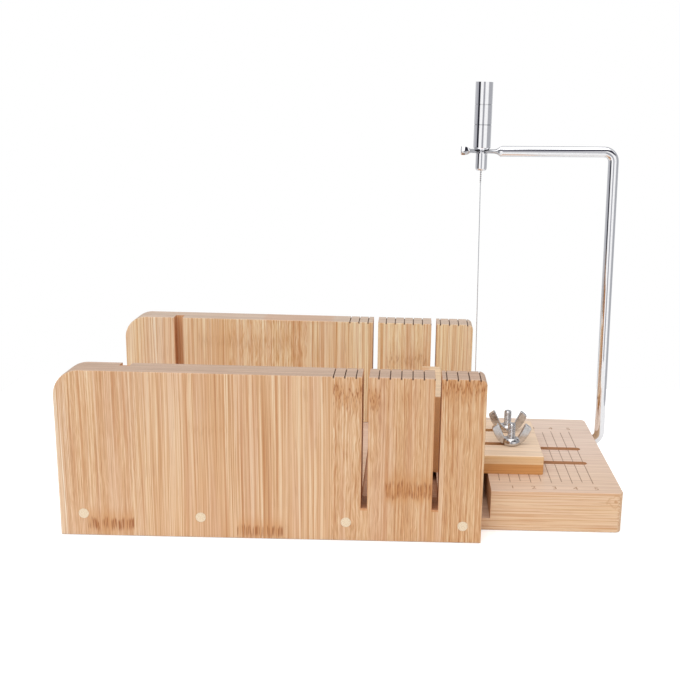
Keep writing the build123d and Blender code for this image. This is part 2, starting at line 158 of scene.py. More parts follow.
def makeBambooGrain():
    # Grain is in mm: x across the strips, y into the board, z along the fibres
    group, given, result = newGroup(
        "bambooGrain",
        [("Grain", "Vector"), ("Strip Width", "Float"), ("Strip Shift", "Float"), ("Seed", "Float"),
         ("Figure", "Float")],
        [("Tone", "Float"), ("Fleck", "Float"), ("Seam", "Float"), ("Blush", "Float"), ("Height", "Float")])
    s = grainLook

    def countFrom(value, shift, width):
        return calc(group, "FLOOR", calc(group, "DIVIDE", calc(group, "ADD", value, shift), width))

    def grainNoise(name, vector):
        return noise(group, vector, *s[name])

    part = separate(group, given["Grain"])
    strip = countFrom(part["X"], given["Strip Shift"], given["Strip Width"])
    ply = countFrom(part["Y"], s["plyShift"], s["ply"])
    random = addNode(group, "ShaderNodeTexWhiteNoise", {"Vector": combine(group, strip, ply, given["Seed"])},
                     noise_dimensions="3D").outputs
    # every strip gets its own stretch of bamboo
    slide = vectorCalc(group, "MULTIPLY", random["Color"], s["strayed"])
    own = vectorCalc(group, "ADD", given["Grain"], slide)
    bendMove = combine(group, swing(group, grainNoise("bend", own), s["bendBy"], 0.0))
    bent = vectorCalc(group, "ADD", own, bendMove)
    coarse, lines, fine = (grainNoise(name, bent) for name in ("coarse", "lines", "fine"))
    fleck = spread(group, grainNoise("dashes", bent), *s["fleckLevels"])
    # thin dark lines wherever this noise crosses its middle
    fromMiddle = calc(group, "ABSOLUTE", calc(group, "SUBTRACT", grainNoise("threads", bent), 0.5))
    tone = swing(group, coarse, s["coarseShare"], 0.5)
    tone = swing(group, lines, s["linesShare"], tone)
    tone = swing(group, fine, s["fineShare"], tone)
    tone = swing(group, random["Value"], s["stripShare"], tone)
    # where a strip is cut flat to the stem, its lines break up into short swaying strokes
    swayMove = combine(group, swing(group, grainNoise("sway", own), s["swayBy"], 0.0))
    strokes = grainNoise("strokes", vectorCalc(group, "ADD", own, swayMove))
    figured = swing(group, strokes, s["strokesShare"], swing(group, tone, s["calm"], 0.5))
    tone = addNode(group, "ShaderNodeMix", {0: given["Figure"], 2: tone, 3: figured}, data_type="FLOAT")
    height = calc(group, "MULTIPLY_ADD", fine, s["fineLift"], calc(group, "MULTIPLY", lines, s["linesLift"]))
    plug(group, result["Tone"], tone.outputs[0])
    plug(group, result["Fleck"], fleck)
    plug(group, result["Seam"], spread(group, fromMiddle, *s["seamLevels"]))
    plug(group, result["Blush"], spread(group, grainNoise("blush", own), *s["blushLevels"]))
    plug(group, result["Height"], calc(group, "MULTIPLY_ADD", fleck, s["fleckLift"], height))
    return group


knotLook = {
    # in mm: the zigzag in which the fibres end along the ring, and how far it and the ring wander
    "zigzag": 1.9, "zigzagWander": 11.0, "ringWander": 6.0, "sideFade": (-0.15, 0.25),
    "shake": ((0.5, 0.5, 0.02), 2.0), "streaks": ((1.6, 1.6, 0.07), 2.0),
    # in half heights from the ring's middle: where the halo ends, and where the row of specks lies
    "haloEnd": 1.25, "rowStarts": (-0.62, -0.25), "rowEnds": (0.34, 0.06),
    # streaks in the halo: their levels, and what is left of the halo between them
    "streakLevels": (0.3, 0.62), "betweenStreaks": 0.45,
    # teeth are long where the ring is straight, and this much shorter where it is ragged
    "toothAcross": 2.3, "toothAlong": 0.02, "toothShorter": 0.085, "toothLevels": (0.46, 0.58),
}


def makeKnotBand():
    # the ring of a bamboo stem, where a strip turns brown and its fibres break up into specks
    group, given, result = newGroup(
        "knotBand",
        [("Grain", "Vector"), ("Across", "Float"), ("Half Width", "Float"), ("Along", "Float"),
         ("Half Height", "Float"), ("Raggedness", "Float")],
        [("Halo", "Float"), ("Specks", "Float")])
    s = knotLook
    grain = given["Grain"]
    part = separate(group, grain)
    shake = noise(group, grain, *s["shake"])
    wander = calc(group, "MULTIPLY_ADD", shake, s["zigzagWander"], part["X"])
    zigzag = calc(group, "SUBTRACT", calc(group, "PINGPONG", wander, s["zigzag"]), s["zigzag"] / 2)
    ragged = calc(group, "MULTIPLY", zigzag, given["Raggedness"])
    ragged = swing(group, shake, s["ringWander"], ragged)
    height = calc(group, "SUBTRACT", calc(group, "ADD", ragged, part["Z"]), given["Along"])
    steps = calc(group, "DIVIDE", height, given["Half Height"])
    away = calc(group, "ABSOLUTE", steps)
    side = calc(group, "ABSOLUTE", calc(group, "SUBTRACT", part["X"], given["Across"]))
    sideFade = spread(group, calc(group, "SUBTRACT", given["Half Width"], side), *s["sideFade"])
    streaks = spread(group, noise(group, grain, *s["streaks"]), *s["streakLevels"], s["betweenStreaks"], 1.0)
    halo = calc(group, "MULTIPLY", spread(group, away, s["haloEnd"], 0.0), sideFade)
    halo = calc(group, "MULTIPLY", halo, streaks)
    along = calc(group, "MULTIPLY_ADD", given["Raggedness"], s["toothShorter"], s["toothAlong"])
    teeth = noise(group, grain, combine(group, s["toothAcross"], s["toothAcross"], along), 1.0, 0.6)
    row = between(group, steps, s["rowStarts"], s["rowEnds"])
    specks = calc(group, "MULTIPLY", spread(group, teeth, *s["toothLevels"]), row)
    plug(group, result["Halo"], halo)
    plug(group, result["Specks"], calc(group, "MULTIPLY", specks, sideFade))
    return group


def makeBoxMask():
    # 1 inside a box between two corners, both in mm
    group, given, result = newGroup(
        "boxMask", [("Place", "Vector"), ("Low", "Vector"), ("High", "Vector"), ("Soft", "Float")],
        [("Mask", "Float")])
    fromLow = vectorCalc(group, "SUBTRACT", given["Place"], given["Low"])
    fromHigh = vectorCalc(group, "SUBTRACT", given["High"], given["Place"])
    part = separate(group, vectorCalc(group, "MINIMUM", fromLow, fromHigh))
    inside = calc(group, "MINIMUM", calc(group, "MINIMUM", part["X"], part["Y"]), part["Z"])
    plug(group, result["Mask"], spread(group, inside, 0.0, given["Soft"]))
    return group


def makeCombMask():
    # 1 on evenly spaced lines along X, from the first one both ways
    group, given, result = newGroup(
        "combMask", [("Place", "Vector"), ("First", "Float"), ("Pitch", "Float"), ("Half Width", "Float")],
        [("Mask", "Float")])
    part = separate(group, given["Place"])
    steps = calc(group, "DIVIDE", calc(group, "SUBTRACT", part["X"], given["First"]), given["Pitch"])
    away = calc(group, "ABSOLUTE", calc(group, "SUBTRACT", steps, calc(group, "ROUND", steps)))
    away = calc(group, "MULTIPLY", away, given["Pitch"])
    plug(group, result["Mask"], calc(group, "LESS_THAN", away, given["Half Width"]))
    return group


wearLook = {
    # each noise: stretch, detail
    "smudges": ((0.11, 0.11, 0.11), 4.0), "grains": ((7.0, 7.0, 7.0), 3.0),
    "scratches": ((9.0, 1.2, 0.7), 2.0),
    "cellScale": 1.6, "smudgeLevels": (0.42, 0.68),
    # what the mottle and the bump are made of
    "mottleCells": 0.5, "mottleGrains": 0.6, "bumpGrains": 0.6, "bumpScratches": 0.4,
}


def makeMetalWear():
    # smudges, fine scratches and a light mottle for plated steel
    group, given, result = newGroup(
        "metalWear", [("Place", "Vector"), ("Mottle Size", "Float")],
        [("Smudge", "Float"), ("Mottle", "Float"), ("Height", "Float")])
    s = wearLook
    place = given["Place"]
    smudges, grains, scratches = (
        noise(group, place, *s[name]) for name in ("smudges", "grains", "scratches"))
    sized = addNode(group, "ShaderNodeVectorMath", {0: place, "Scale": given["Mottle Size"]},
                    operation="SCALE")
    cells = addNode(group, "ShaderNodeTexVoronoi", {"Vector": sized.outputs[0], "Scale": s["cellScale"]})
    mottle = calc(group, "MULTIPLY", grains, s["mottleGrains"])
    mottle = calc(group, "MULTIPLY_ADD", cells.outputs["Distance"], s["mottleCells"], mottle)
    height = calc(group, "MULTIPLY", scratches, s["bumpScratches"])
    height = calc(group, "MULTIPLY_ADD", grains, s["bumpGrains"], height)
    plug(group, result["Smudge"], spread(group, smudges, *s["smudgeLevels"]))
    plug(group, result["Mottle"], mottle)
    plug(group, result["Height"], height)
    return group


bambooGrain = makeBambooGrain()
knotBand = makeKnotBand()
boxMask = makeBoxMask()
combMask = makeCombMask()
metalWear = makeMetalWear()
print("shared effects: bamboo grain, knot band, masks, metal wear")


def newMaterial(name):
    material = bpy.data.materials.new(name)
    material.use_nodes = True
    tree = material.node_tree
    # the place on the cutter in mm from the box's lower front left corner
    inMetres = tree.nodes.new("ShaderNodeTexCoord").outputs["Object"]
    fromOrigin = vectorCalc(tree, "MULTIPLY", inMetres, (1 / mm, 1 / mm, 1 / mm))
    return material, tree, vectorCalc(tree, "SUBTRACT", fromOrigin, tuple(boxShift))


def dress(tree, colour, roughness, height=None, strength=0.0, depth=0.0):
    # depth is how far the bump goes, in metres
    shader = tree.nodes["Principled BSDF"].inputs
    plug(tree, shader["Base Color"], colour)
    plug(tree, shader["Roughness"], roughness)
    if height:
        bump = addNode(tree, "ShaderNodeBump", {"Height": height, "Strength": strength, "Distance": depth})
        plug(tree, shader["Normal"], bump.outputs[0])


def colourRamp(tree, factor, stops):
    ramp = addNode(tree, "ShaderNodeValToRGB", {"Fac": factor})
    elements = ramp.color_ramp.elements
    while len(elements) < len(stops):
        elements.new(0.5)
    for element, (position, colour) in zip(elements, stops):
        element.position = position
        element.color = (*colour, 1.0)
    return ramp.outputs["Color"]


def tintBoxes(tree, colour, place, boxes, tintColour):
    # each box: low corner, high corner, softness of its edge, share
    for low, high, soft, share in boxes:
        colour = tinted(tree, colour, useGroup(tree, boxMask, place, low, high, soft)["Mask"], share, tintColour)
    return colour


def knifeSlotBurnAndShade(fromY, toY, toZ, share):
    # the saw browned the faces of the two knife slots, and this browning also paints the shade inside the
    # narrow slots
    return [((fromX, fromY, 15), (toX, toY, toZ), 0.02, share)
            for fromX, toX in ((136.1, 139.3), (168.4, 171.6))]


def boltSlotBurns(fromX, toX, fromZ, toZ):
    return [((fromX, fromY, fromZ), (toX, toY, toZ), 0.02, 0.4)
            for fromY, toY in ((52.5, 57.1), (73.9, 78.5))]


bambooTones = [
    (0.20, (0.51, 0.235, 0.095)),
    (0.38, (0.665, 0.385, 0.195)),
    (0.50, (0.765, 0.495, 0.290)),
    (0.62, (0.830, 0.590, 0.375)),
    (0.80, (0.880, 0.700, 0.490)),
]
rearTones = [
    (0.20, (0.58, 0.300, 0.130)),
    (0.38, (0.730, 0.475, 0.255)),
    (0.50, (0.810, 0.595, 0.365)),
    (0.62, (0.860, 0.680, 0.455)),
    (0.80, (0.900, 0.775, 0.565)),
]
paleTones = [
    (0.14, (0.56, 0.31, 0.160)),
    (0.36, (0.72, 0.45, 0.255)),
    (0.52, (0.795, 0.54, 0.335)),
    (0.68, (0.840, 0.61, 0.400)),
    (0.88, (0.870, 0.68, 0.480)),
]
stopTones = [
    (0.20, (0.735, 0.455, 0.225)),
    (0.50, (0.815, 0.555, 0.315)),
    (0.80, (0.860, 0.625, 0.390)),
]
bambooTints = {
    "blush": (0.74, 0.475, 0.325), "seam": (0.55, 0.235, 0.085), "fleck": (0.46, 0.22, 0.095),
    "halo": (0.59, 0.265, 0.085), "specks": (0.33, 0.10, 0.022), "rings": (0.56, 0.28, 0.12),
    # browned faces and patches; inside the knife slots and end grooves this is also painted shade
    "brownedAndShaded": (0.56, 0.195, 0.045), "cut": (0.16, 0.07, 0.035),
    "blushShare": 0.35, "seamShare": 0.5, "fleckShare": 0.25, "haloShare": 0.66, "specksShare": 0.88,
    "ringsShare": 0.75,
}

# the painted pale sheen on the tops, and the end grain, roughness and bump of the boards
boardSheenAndWear = {
    "facing": (0.35, 0.9),  # how far a face turns up or to its end until it is a top or end grain
    "streaks": ((0.02, 0.8, 0.8), 3.0), "streakLevels": (0.36, 0.64), "streakChange": (0.87, 1.13),
    "paleRoughness": -0.14, "endRoughness": 0.12,  # what pale fibres and end grain add
    "bump": (0.35, 0.00006),  # strength, depth in metres
}

# What a board may have, in mm on the cutter. Shares go from 0 to 1.
plainBoard = {
    "lineShare": 1.0,  # of the seams and flecks
    "knots": [],  # centre across, half width, height, half height, raggedness, strength
    "figure": [],  # from x, to x, share of the swaying figure
    "fade": None,  # from x, to x, the colour times this from there on, how much stronger its lines
    "shades": [],  # from x, to x, the colour times this
    "farTopSheen": None,  # from y, to y, the top's painted sheen times this from there on
    "brownedAndShaded": [],  # browned faces and patches, with painted shade in slots and grooves among them: low corner, high corner, softness, share
    "cuts": None,  # sawn lines of the ruler, between a low and a high corner
    "eye": None,  # a small twig knot
    "plies": None,  # the glue line's lower and upper edge, the colours below and above times these
}
# a board's top tint is a painted pale sheen on its upward faces; its end tint darkens its end grain
frontWallLook = {
    **plainBoard, "along": "Z", "stripWidth": 21.6, "stripShift": 2.8, "seed": 3.0, "tones": bambooTones,
    "topSheenTint": (0.495, 0.356, 0.272), "topSheenShare": 0.8, "endTint": (0.52, 0.37, 0.275), "endShare": 0.2,
    "roughness": 0.46,
    "knots": [(23.0, 10.6, 6.5, 7.5, 0.6, 1.0), (90.5, 10.5, 4.5, 7.0, 0.6, 0.85),
              (134.0, 10.6, 70.5, 6.0, 3.4, 0.85), (134.0, 10.6, 65.5, 4.0, 2.6, 0.5),
              (158.0, 10.7, 27.0, 9.0, 0.8, 1.0), (158.0, 10.7, 23.5, 4.5, 0.8, 0.8),
              (181.0, 10.5, 75.5, 5.0, 3.0, 1.0), (181.0, 10.5, 71.5, 4.5, 2.6, 0.4),
              (68.0, 9.0, 52.0, 5.0, 2.0, 0.12)],
    "figure": [(4.0, 37.0, 0.35), (123.0, 145.0, 0.65), (145.0, 167.0, 0.45), (171.0, 191.6, 0.5)],
    "fade": (105.0, 182.0, (0.915, 0.835, 0.735), 1.4),
    "shades": [(-2.0, 5.2, (1.07, 1.18, 1.36)), (32.4, 40.4, (1.05, 1.12, 1.17)),
               (61.8, 75.5, (0.93, 0.86, 0.79))],
    # the knife slots and the end groove are browned, which also paints the shade inside them
    "brownedAndShaded": knifeSlotBurnAndShade(-1, 16, 79, 0.55) + [((27.0, 9.0, 19), (31.8, 14.7, 79), 0.02, 0.55)],
    "cuts": {"first": 123.55, "pitch": 5.0, "halfWidth": 0.34, "share": 0.9,
             "low": (122, -1, 77.1), "high": (190, 129, 77.97), "soft": 0.01},
}
rearWallLook = {
    # its top tint is a paler painted sheen
    **frontWallLook, "stripShift": 8.0, "seed": 11.0, "tones": rearTones, "topSheenTint": (0.54, 0.415, 0.335),
    "knots": [(155.5, 11.5, 57.0, 7.0, 3.0, 0.4), (66.0, 26.0, 66.0, 9.0, 2.0, 0.16),
              (104.0, 10.0, 30.0, 6.0, 1.6, 0.5), (40.0, 10.0, 22.0, 6.0, 1.0, 0.7),
              (125.0, 10.5, 12.0, 7.0, 1.0, 0.8)],
    "figure": [(56.8, 100.0, 0.85), (145.0, 168.0, 0.55)],
    "fade": (125.0, 150.0, (1.06, 1.12, 1.13), 0.95),
    "shades": [(13.0, 22.0, (1.07, 1.20, 1.38)), (47.0, 61.0, (0.93, 0.85, 0.77)),
               (80.0, 92.0, (1.05, 1.12, 1.15)), (100.0, 134.5, (1.06, 1.14, 1.19))],
    # the knife slots and the end groove are browned, which also paints the shade inside them
    "brownedAndShaded": knifeSlotBurnAndShade(111, 129, 79, 0.5) + [((27.0, 112.8, 19), (31.8, 118.6, 79), 0.02, 0.5),
                                                  ((74, 106, 75), (116, 134, 84), 5.0, 0.3)],
}
plankLook = {
    **plainBoard, "along": "X", "stripWidth": 19.0, "stripShift": 4.0, "seed": 23.0, "tones": paleTones,
    # its top tint is a painted pale sheen
    "topSheenTint": (0.685, 0.535, 0.44), "topSheenShare": 0.6, "endTint": (0.60, 0.385, 0.22), "endShare": 0.5,
    "roughness": 0.44,
    "knots": [(70.0, 9.5, 60.0, 6.0, 1.6, 0.5)],
    "eye": {"centre": (255.6, 15.0, 15.6), "size": (4.0, 5.0, 3.3), "wobble": 1.5, "ringsPerSize": 9.0},
    # the top's painted sheen grows paler towards the back
    "farTopSheen": (30.0, 90.0, (1.12, 1.22, 1.36)),
    # the knife-slot groove across the top is browned and painted shade; the bolt slots are browned
    "brownedAndShaded": knifeSlotBurnAndShade(-1, 129, 19.97, 0.4) + boltSlotBurns(206.6, 249.0, -1, 19.9),
    "cuts": {"first": 201.8, "pitch": 5.0, "halfWidth": 0.22, "share": 0.62,
             "low": (198, 20, 19.7), "high": (249, 108, 19.985), "soft": 0.01},
}
footLook = {
    **plainBoard, "along": "X", "stripWidth": 20.0, "stripShift": 6.0, "seed": 37.0, "tones": stopTones,
    # its top tint is the same painted pale sheen
    "topSheenTint": (0.775, 0.605, 0.51), "topSheenShare": 0.74, "endTint": (0.66, 0.40, 0.20), "endShare": 0.5,
    "roughness": 0.42, "lineShare": 0.3,
    "brownedAndShaded": boltSlotBurns(181.0, 212.0, 19, 29.35),
    "plies": (24.95, 25.1, (0.86, 0.62, 0.36), (1.08, 1.08, 0.99)),
}
uprightLook = {
    **footLook, "along": "Y", "seed": 41.0, "stripShift": 4.0, "plies": None,
    # its cream top is painted light from above; its strong end tint is darker end grain and also painted
    # shade cast by the front wall on its front edge
    "topSheenTint": (0.74, 0.555, 0.375), "topSheenShare": 0.8, "endTint": (0.60, 0.31, 0.12), "endShare": 0.62,
    "brownedAndShaded": [((161.5, 77.5, 56), (169.0, 92.5, 62), 2.6, 0.42)],
}


def addStripColour(tree, look, grain, acrossX):
    # the board's colour with its seams and flecks, and the grain's outputs
    s = bambooTints
    figure = 0.0
    for fromX, toX, share in look["figure"]:
        figure = calc(tree, "MULTIPLY_ADD", inBand(tree, acrossX, fromX, toX, 0.3), share, figure)
    wood = useGroup(tree, bambooGrain, grain, look["stripWidth"], look["stripShift"], look["seed"], figure)
    tone = wood["Tone"]
    if look["fade"]:
        fromX, toX, fadeTint, lineGain = look["fade"]
        faded = spread(tree, acrossX, fromX, toX)
        tone = swing(tree, tone, calc(tree, "MULTIPLY_ADD", faded, lineGain - 1.0, 1.0), 0.5)
    colour = colourRamp(tree, tone, look["tones"])
    if look["fade"]:
        colour = blendColour(tree, faded, colour, fadeTint, "MULTIPLY")
    for fromX, toX, shade in look["shades"]:
        colour = blendColour(tree, inBand(tree, acrossX, fromX, toX, 0.8), colour, shade, "MULTIPLY")
    for mark, share in (("blush", 1.0), ("seam", look["lineShare"]), ("fleck", look["lineShare"])):
        colour = tinted(tree, colour, wood[mark.title()], s[mark + "Share"] * share, s[mark])
    return colour, wood


def addKnots(tree, look, grain, place, colour):
    s = bambooTints
    for across, halfWidth, along, halfHeight, raggedness, strength in look["knots"]:
        band = useGroup(tree, knotBand, grain, across, halfWidth, along, halfHeight, raggedness)
        for mark in ("halo", "specks"):
            colour = tinted(tree, colour, band[mark.title()], s[mark + "Share"] * strength, s[mark])
    eye = look["eye"]
    if eye:
        # the fibres run round it in rings
        inward = vectorCalc(tree, "DIVIDE", vectorCalc(tree, "SUBTRACT", place, eye["centre"]), eye["size"])
        wobble = noise(tree, place, (0.42, 0.42, 0.42), 3.0)
        radius = addNode(tree, "ShaderNodeVectorMath", {0: inward}, operation="LENGTH").outputs["Value"]
        radius = calc(tree, "MULTIPLY_ADD", wobble, eye["wobble"], radius)
        rings = calc(tree, "SINE", calc(tree, "MULTIPLY", radius, eye["ringsPerSize"]))
        near = spread(tree, radius, 1.9, 1.2, 0.0, s["ringsShare"])
        colour = tinted(tree, colour, spread(tree, rings, -0.2, 0.9), near, s["rings"])
    return colour


def addTopSheenAndEnds(tree, look, place, colour):
    # the upper faces get a painted pale sheen, and end grain is duller
    s = boardSheenAndWear
    facing = separate(tree, tree.nodes.new("ShaderNodeTexCoord").outputs["Normal"])
    upward, endGrain = (spread(tree, calc(tree, "ABSOLUTE", facing[axis]), *s["facing"])
                        for axis in ("Z", look["along"]))
    colour = tinted(tree, colour, endGrain, look["endShare"], look["endTint"])
    # dust and sanding leave streaks along the tops, which vary the painted sheen
    streaks = spread(tree, noise(tree, place, *s["streaks"]), *s["streakLevels"])
    deeper, paler = (tuple(c * change for c in look["topSheenTint"]) for change in s["streakChange"])
    top = blendColour(tree, streaks, deeper, paler)
    if look["farTopSheen"]:
        fromY, toY, farSheenTint = look["farTopSheen"]
        far = spread(tree, separate(tree, place)["Y"], fromY, toY)
        top = blendColour(tree, far, top, farSheenTint, "MULTIPLY")
    # the painted pale sheen goes on the upward faces
    return tinted(tree, colour, upward, look["topSheenShare"], top), endGrain


def bambooMaterial(name, look):
    material, tree, place = newMaterial(name)
    part = separate(tree, place)
    order = {"Z": "XYZ", "X": "YZX", "Y": "ZXY"}[look["along"]]
    grain = combine(tree, *(part[axis] for axis in order))
    colour, wood = addStripColour(tree, look, grain, part["X"])
    colour = addKnots(tree, look, grain, place, colour)
    colour, endGrain = addTopSheenAndEnds(tree, look, place, colour)
    # browned faces and patches, with painted shade in the slots and grooves
    colour = tintBoxes(tree, colour, place, look["brownedAndShaded"], bambooTints["brownedAndShaded"])
    cuts = look["cuts"]
    if cuts:
        comb = useGroup(tree, combMask, place, cuts["first"], cuts["pitch"], cuts["halfWidth"])
        box = useGroup(tree, boxMask, place, cuts["low"], cuts["high"], cuts["soft"])
        lines = calc(tree, "MULTIPLY", comb["Mask"], box["Mask"])
        colour = tinted(tree, colour, lines, cuts["share"], bambooTints["cut"])
    if look["plies"]:
        glueLow, glueHigh, lower, upper = look["plies"]
        deep, warm = (blendColour(tree, 1.0, colour, tint, "MULTIPLY") for tint in (lower, upper))
        colour = blendColour(tree, spread(tree, part["Z"], glueLow, glueHigh), deep, warm)
    roughness = swing(tree, wood["Tone"], boardSheenAndWear["paleRoughness"], look["roughness"])
    roughness = calc(tree, "MULTIPLY_ADD", endGrain, boardSheenAndWear["endRoughness"], roughness)
    dress(tree, colour, roughness, wood["Height"], *boardSheenAndWear["bump"])
    return material


dowelLook = {"tones": [(0.3, (0.68, 0.48, 0.29)), (0.5, (0.86, 0.71, 0.51)), (0.72, (0.92, 0.82, 0.66))],
             "fibres": ((2.2, 0.05, 2.2), 3.0, 0.6), "roughness": (0.7, 0.5), "bump": (0.4, 0.00008)}


def dowelMaterial():
    material, tree, place = newMaterial("dowelWood")
    s = dowelLook
    fibres = noise(tree, place, *s["fibres"])
    roughness = spread(tree, fibres, 0.2, 0.8, *s["roughness"])
    dress(tree, colourRamp(tree, fibres, s["tones"]), roughness, fibres, *s["bump"])
    return material


burntLook = {"tones": [(0.3, (0.30, 0.15, 0.08)), (0.7, (0.52, 0.33, 0.20))],
             "patches": ((2.5, 2.5, 2.5), 3.0), "roughness": (0.6, 0.8)}


def burntMaterial():
    material, tree, place = newMaterial("burntMark")
    patches = noise(tree, place, *burntLook["patches"])
    roughness = spread(tree, patches, 0.2, 0.8, *burntLook["roughness"])
    dress(tree, colourRamp(tree, patches, burntLook["tones"]), roughness)
    return material


chromeLook = {"bright": (0.93, 0.93, 0.945), "dull": (0.86, 0.86, 0.88), "roughness": (0.03, 0.08),
              "mottleSize": 0.5, "depth": 0.000001, "darkened": []}
# the arm is duller where it was pressed flat, and the handle's two grooves are darker
armLook = {**chromeLook, "darkened": [((180.8, 100, 168), (202.0, 114, 178), 2.0, 0.42)]}
handleLook = {**chromeLook, "darkened": [((180, 95, 185.6), (204, 119, 186.2), 0.05, 0.45),
                                      ((180, 95, 195.8), (204, 119, 196.4), 0.05, 0.3)]}
zincLook = {"bright": (0.66, 0.645, 0.645), "dull": (0.46, 0.445, 0.445), "roughness": (0.17, 0.29),
            "mottleSize": 0.4, "depth": 0.000003, "darkened": []}
wireLook = {"bright": (0.72, 0.73, 0.75), "dull": (0.58, 0.59, 0.61), "roughness": (0.2, 0.3),
            "mottleSize": 2.0, "depth": 0.000004, "darkened": []}
darkenTint = (0.10, 0.10, 0.115)


def metalMaterial(name, look):
    material, tree, place = newMaterial(name)
    wear = useGroup(tree, metalWear, place, look["mottleSize"])
    colour = colourRamp(tree, wear["Mottle"], [(0.25, look["dull"]), (0.62, look["bright"])])
    colour = tintBoxes(tree, colour, place, look["darkened"], darkenTint)
    rough = calc(tree, "MULTIPLY_ADD", wear["Smudge"], 0.5, calc(tree, "MULTIPLY", wear["Mottle"], 0.5))
    dress(tree, colour, spread(tree, rough, 0.1, 0.8, *look["roughness"]), wear["Height"], 0.5, look["depth"])
    tree.nodes["Principled BSDF"].inputs["Metallic"].default_value = 1.0
    return material


frontWallBamboo = bambooMaterial("frontWallBamboo", frontWallLook)
rearWallBamboo = bambooMaterial("rearWallBamboo", rearWallLook)
plankBamboo = bambooMaterial("plankBamboo", plankLook)
uprightBamboo = bambooMaterial("uprightBamboo", uprightLook)
stopBamboo = bambooMaterial("stopBamboo", footLook)
dowelWood = dowelMaterial()
chromedSteel = metalMaterial("chromedSteel", chromeLook)
armSteel = metalMaterial("armSteel", armLook)
handleSteel = metalMaterial("handleSteel", handleLook)
zincPlate = metalMaterial("zincPlate", zincLook)
wireSteel = metalMaterial("wireSteel", wireLook)
burntMark = burntMaterial()

nodeFinish = {
    "front_wall": frontWallBamboo, "rear_wall_left": rearWallBamboo, "rear_wall_middle": rearWallBamboo,
    "rear_wall_right": rearWallBamboo, "base_plank": plankBamboo, "stop_upright": uprightBamboo,
    "stop_foot": stopBamboo, "front_wall_dowels": dowelWood, "stop_dowels": dowelWood,
    "rear_wall_screws": zincPlate, "anchor_screw": chromedSteel, "handle_grip": handleSteel,
}
for nodeName, finish in nodeFinish.items():
    for slot in nodes[nodeName].material_slots:
        slot.material = finish
print("materials: bamboo, dowel wood, chrome, zinc, wire")


mergeGap = 0.0005  # points nearer to each other than this, in mm, become one


def addObject(name, data):
    made = bpy.data.objects.new(name, data)
    bpy.context.scene.collection.objects.link(made)
    return made


def finishPiece(bm, name, material, body, stands=(), smoothAngle=35.0):
    # a piece is modelled in mm from the box's corner, and moves to the row's place here
    bmesh.ops.remove_doubles(bm, verts=bm.verts, dist=mergeGap)
    bmesh.ops.recalc_face_normals(bm, faces=bm.faces)
    bmesh.ops.translate(bm, vec=boxShift, verts=bm.verts)
    bmesh.ops.scale(bm, vec=(mm, mm, mm), verts=bm.verts)
    for face in bm.faces:
        face.smooth = True
    for edge in bm.edges:
        edge.smooth = len(edge.link_faces) < 2 or edge.calc_face_angle() < math.radians(smoothAngle)
    mesh = bpy.data.meshes.new(name)
    bm.to_mesh(mesh)
    bm.free()
    mesh.materials.append(material)
    piece = addObject(name, mesh)
    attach(piece, body)
    if stands:
        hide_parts(*stands)


def ofKind(items, kind):
    return [item for item in items if isinstance(item, kind)]


def touching(items, links):
    # in a steady order, so that every run gives the same mesh
    return list(dict.fromkeys(other for item in items for other in getattr(item, links)))


def spinRound(bm, steps):
    # turns the outline in bm once round Z
    bmesh.ops.spin(bm, geom=bm.verts[:] + bm.edges[:], axis=(0, 0, 1), angle=2 * math.pi, steps=steps,
                   use_merge=True)
    bmesh.ops.remove_doubles(bm, verts=bm.verts, dist=mergeGap)


def pullOut(bm, face, move):
    # extrudes a face and gives the points of its far end
    grown = bmesh.ops.extrude_face_region(bm, geom=[face])["geom"]
    far = ofKind(grown, bmesh.types.BMVert)
    bmesh.ops.translate(bm, vec=move, verts=far)
    return far


def nodeCentre(node):
    low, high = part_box(node)
    return ((low + high) / 2) / mm - boxShift


# clamp bolts with a cut thread
boltSize = {"radius": 1.95, "rootDepth": 0.26, "pitch": 0.7, "length": 35.0, "seat": 5.5, "chamfer": 0.5,
            "plainNeck": 0.3, "grooveSlope": 2.6, "headFlats": 7.0, "headHeight": 2.8, "headSoftening": 0.35,
            "stepsRound": 28, "stepsPerTurn": 6, "slack": 0.01}


